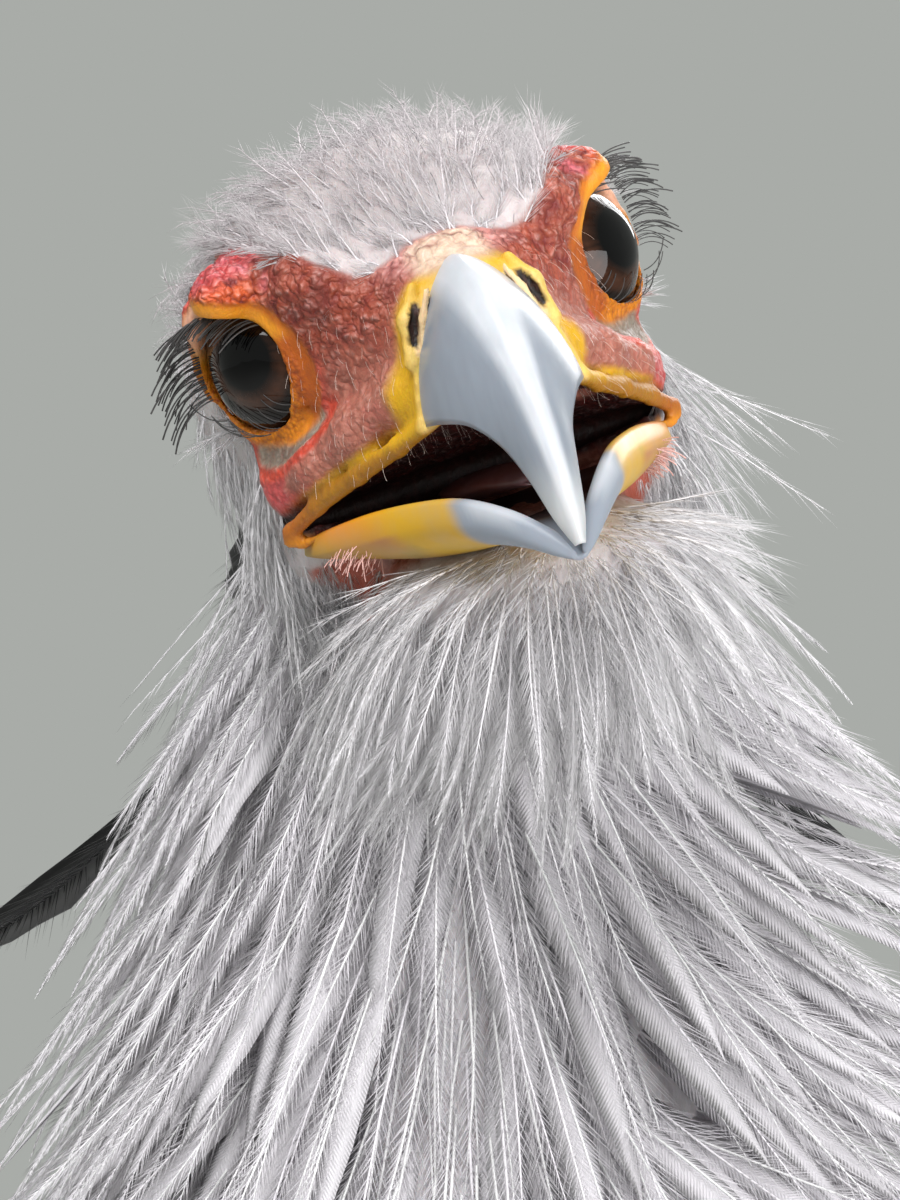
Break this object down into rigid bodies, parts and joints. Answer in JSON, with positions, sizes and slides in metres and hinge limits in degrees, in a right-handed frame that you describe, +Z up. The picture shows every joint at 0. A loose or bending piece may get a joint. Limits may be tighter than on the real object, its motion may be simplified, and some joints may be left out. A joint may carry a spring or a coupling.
{
  "type": "secretary bird",
  "caption": "Life-size still model of a standing long-legged bird of prey with a tilted head, open hooked bill, raised neck hackles, spread crest, folded wings and long tail.",
  "frame": {"origin": "the middle of the bounding box at floor level, between the feet and the tail's tip", "axes": "+Z up; the body faces -Y, with the bird's left side towards +X and the tail towards +Y"},
  "size_m": [0.26, 1.0498, 1.1185],
  "materials": {
    "plume": "soft loose white-grey feathers",
    "black": "black flight, thigh and crest feathers",
    "tail": "grey tail feathers with a black band and a white tip",
    "skin": "bare orange and pink warty face skin",
    "horn": "blue-grey horn, satin",
    "jaw": "yellow jaw skin with a blue-grey horn tip",
    "mouth": "dark moist mouth lining",
    "eye": "dark brown wet eye",
    "shank": "pinkish scaly leg skin",
    "claw": "dark horn claws, satin"
  },
  "bodies": {
    "root": {"head": "skin", "bill_upper": "horn", "bill_lower": "jaw", "tongue": "mouth", "eye_left": "eye", "eye_right": "eye", "crest": "black", "neck": "plume", "torso": "plume", "tail": "tail", "wing_left": "plume", "thigh_left": "black", "shank_left": "shank", "foot_left": "shank", "claw_left_1": "claw", "claw_left_2": "claw", "claw_left_3": "claw", "claw_left_4": "claw", "wing_right": "plume", "thigh_right": "black", "shank_right": "shank", "foot_right": "shank", "claw_right_1": "claw", "claw_right_2": "claw", "claw_right_3": "claw", "claw_right_4": "claw"}
  },
  "joints": []
}
